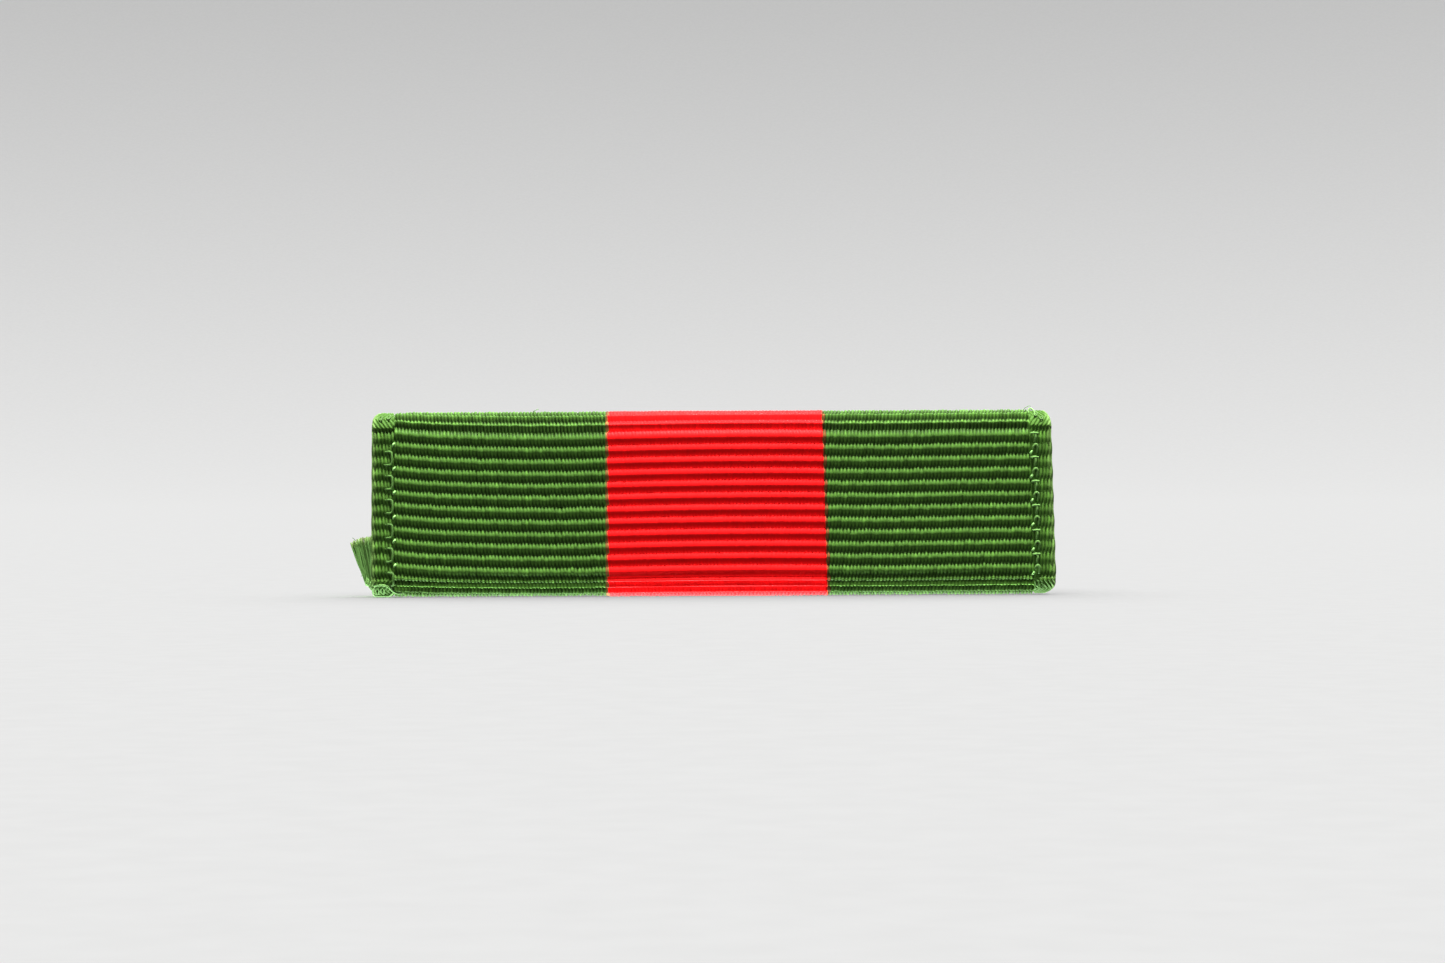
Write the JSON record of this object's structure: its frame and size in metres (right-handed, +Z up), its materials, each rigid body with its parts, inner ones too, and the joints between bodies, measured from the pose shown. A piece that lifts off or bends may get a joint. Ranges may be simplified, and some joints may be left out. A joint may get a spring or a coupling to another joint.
{
  "type": "medal ribbon bar",
  "caption": "Single ribbon bar: striped grosgrain medal ribbon wrapped on a thin slide, which runs on a mounting bar with clutch posts and butterfly clutches.",
  "frame": {"origin": "middle of the mounting bar's rear land, which lies on the garment", "axes": "+X to the right along the bar seen from the front, +Y back into the garment, +Z up as worn"},
  "size_m": [0.036, 0.0098, 0.0096],
  "materials": {
    "ribbon_cloth": "ribbed grosgrain, green, red and green stripes",
    "slide_brass": "satin",
    "bar_brass": "satin, slightly tarnished",
    "post_steel": "nickel-plated",
    "clutch_brass": "polished",
    "spring_brass": "polished spring sheet"
  },
  "bodies": {
    "bar": {"mounting_bar": "bar_brass", "left_post": "post_steel", "right_post": "post_steel"},
    "ribbon_unit": {"ribbon": "ribbon_cloth", "ribbon_slide": "slide_brass"},
    "left_clutch": {"left_clutch_base": "clutch_brass", "left_clutch_saddle": "spring_brass"},
    "left_outer_wing": {"left_clutch_outer_wing": "spring_brass"},
    "left_inner_wing": {"left_clutch_inner_wing": "spring_brass"},
    "right_clutch": {"right_clutch_base": "clutch_brass", "right_clutch_saddle": "spring_brass"},
    "right_outer_wing": {"right_clutch_outer_wing": "spring_brass"},
    "right_inner_wing": {"right_clutch_inner_wing": "spring_brass"}
  },
  "joints": [
    {"name": "ribbon_along_bar", "type": "slide", "parent": "bar", "child": "ribbon_unit", "axis": [1, 0, 0], "range_m": [-0.032, 0.032]},
    {"name": "left_clutch_pull", "type": "slide", "parent": "bar", "child": "left_clutch", "axis": [0, 1, 0], "range_m": [0, 0.008]},
    {"name": "left_outer_wing_pinch", "type": "hinge", "parent": "left_clutch", "child": "left_outer_wing", "pos_m": [-0.01103, 0.00382, 0.00038], "axis": [-0.2419, 0, -0.9703], "range_deg": [0, 12], "stiffness_Nm_per_rad": 0.004},
    {"name": "left_inner_wing_pinch", "type": "hinge", "parent": "left_clutch", "child": "left_inner_wing", "pos_m": [-0.00802, 0.00382, -0.00038], "axis": [0.2419, 0, 0.9703], "range_deg": [0, 12], "stiffness_Nm_per_rad": 0.004},
    {"name": "right_clutch_pull", "type": "slide", "parent": "bar", "child": "right_clutch", "axis": [0, 1, 0], "range_m": [0, 0.008]},
    {"name": "right_outer_wing_pinch", "type": "hinge", "parent": "right_clutch", "child": "right_outer_wing", "pos_m": [0.01106, 0.00382, 0.00024], "axis": [-0.1564, 0, 0.9877], "range_deg": [0, 12], "stiffness_Nm_per_rad": 0.004},
    {"name": "right_inner_wing_pinch", "type": "hinge", "parent": "right_clutch", "child": "right_inner_wing", "pos_m": [0.00799, 0.00382, -0.00024], "axis": [0.1564, 0, -0.9877], "range_deg": [0, 12], "stiffness_Nm_per_rad": 0.004}
  ],
  "couplings": [
    {"joint": "left_inner_wing_pinch", "follows": "left_outer_wing_pinch", "ratio": 1},
    {"joint": "right_inner_wing_pinch", "follows": "right_outer_wing_pinch", "ratio": 1}
  ]
}
